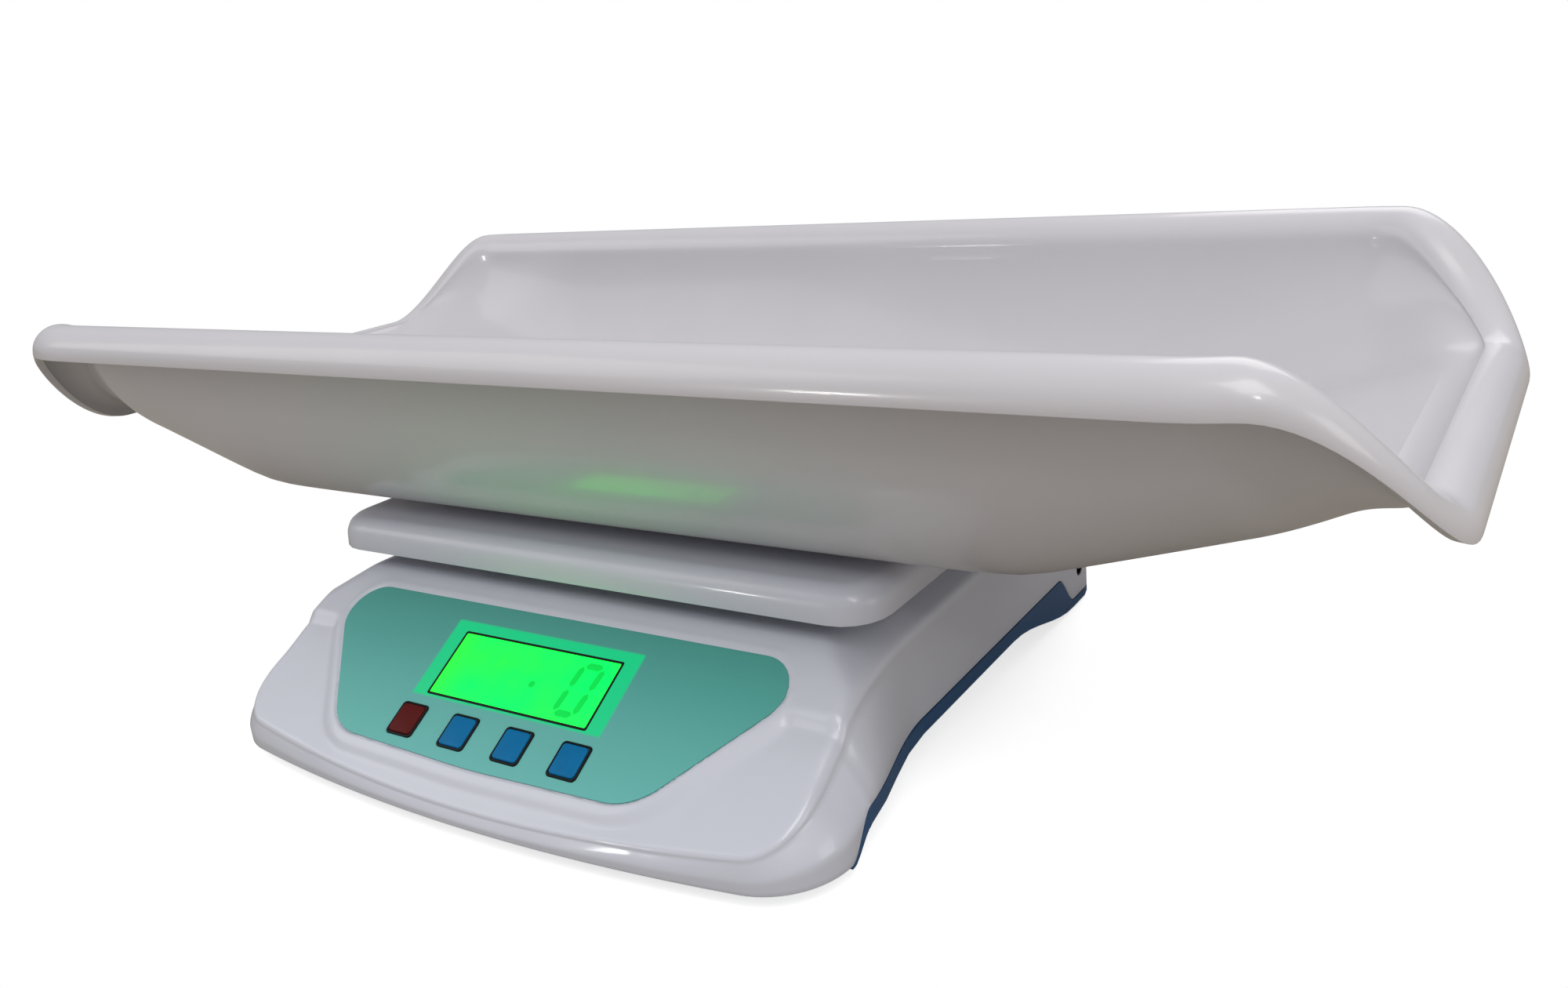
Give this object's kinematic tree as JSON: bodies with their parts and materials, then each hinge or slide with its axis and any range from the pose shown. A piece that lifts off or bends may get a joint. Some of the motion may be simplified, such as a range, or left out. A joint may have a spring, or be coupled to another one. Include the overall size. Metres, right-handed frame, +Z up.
{
  "type": "digital baby weighing scale",
  "caption": "White baby tray with a rolled rim on an electronic table scale with a sloping teal panel, green display and coloured keys.",
  "frame": {"origin": "On the table, under the middle of the whole object's bounding box", "axes": "+X along the tray to the reader's right, +Y towards the back, +Z up; the display faces -Y"},
  "size_m": [0.5486, 0.2943, 0.1541],
  "materials": {
    "white_abs": "satin",
    "tray_white": "gloss",
    "blue_abs": "satin",
    "teal_label": "satin",
    "black_abs": "matte",
    "lcd_window": "gloss",
    "lcd_glass": "gloss",
    "backlight": "satin",
    "board": "satin",
    "steel": "satin",
    "steel_plate": "satin",
    "red_key": "satin",
    "blue_key": "satin",
    "rubber": "matte",
    "aluminium": "satin",
    "cable": "matte",
    "battery": "gloss",
    "contact": "satin"
  },
  "bodies": {
    "housing": {"upper_housing": "white_abs", "lower_housing": "blue_abs", "control_label": "teal_label", "key_frames": "black_abs", "lcd_window": "lcd_window", "lcd_cell": "lcd_glass", "backlight": "backlight", "display_frame": "black_abs", "main_board": "board", "push_switches": "black_abs", "board_screws": "steel", "load_cell": "aluminium", "cell_spacer": "steel_plate", "cell_screws": "steel", "overload_stops": "steel", "cell_cable": "cable", "rubber_feet": "rubber", "battery_cells": "battery", "battery_contacts": "contact", "dc_jack": "black_abs", "housing_screws": "steel"},
    "platform": {"platform": "white_abs", "carrier_plate": "steel_plate", "carrier_spacer": "steel_plate", "carrier_screws": "steel", "carrier_pads": "rubber"},
    "tray": {"tray": "tray_white", "tray_pads": "rubber"},
    "battery_door": {"battery_door": "blue_abs"},
    "key_power": {"key_power": "red_key"},
    "key_zero": {"key_zero": "blue_key"},
    "key_unit": {"key_unit": "blue_key"},
    "key_count": {"key_count": "blue_key"}
  },
  "joints": [
    {"name": "weighing_travel", "type": "slide", "parent": "housing", "child": "platform", "axis": [0, 0, -1], "range_m": [0, 0.0005], "stiffness_N_per_m": 150000, "springref_m": -0.0001, "deforming": ["load_cell"]},
    {"name": "tray_lift", "type": "slide", "parent": "platform", "child": "tray", "axis": [0, 0, 1], "range_m": [0, 0.06]},
    {"name": "key_power_press", "type": "slide", "parent": "housing", "child": "key_power", "axis": [0, 0.5105, -0.8599], "range_m": [0, 0.0006], "stiffness_N_per_m": 3000, "springref_m": -0.0003},
    {"name": "key_zero_press", "type": "slide", "parent": "housing", "child": "key_zero", "axis": [0, 0.5105, -0.8599], "range_m": [0, 0.0006], "stiffness_N_per_m": 3000, "springref_m": -0.0003},
    {"name": "key_unit_press", "type": "slide", "parent": "housing", "child": "key_unit", "axis": [0, 0.5105, -0.8599], "range_m": [0, 0.0006], "stiffness_N_per_m": 3000, "springref_m": -0.0003},
    {"name": "key_count_press", "type": "slide", "parent": "housing", "child": "key_count", "axis": [0, 0.5105, -0.8599], "range_m": [0, 0.0006], "stiffness_N_per_m": 3000, "springref_m": -0.0003},
    {"name": "battery_door_slide", "type": "slide", "parent": "housing", "child": "battery_door", "axis": [0, -1, 0], "range_m": [0, 0.06]}
  ]
}
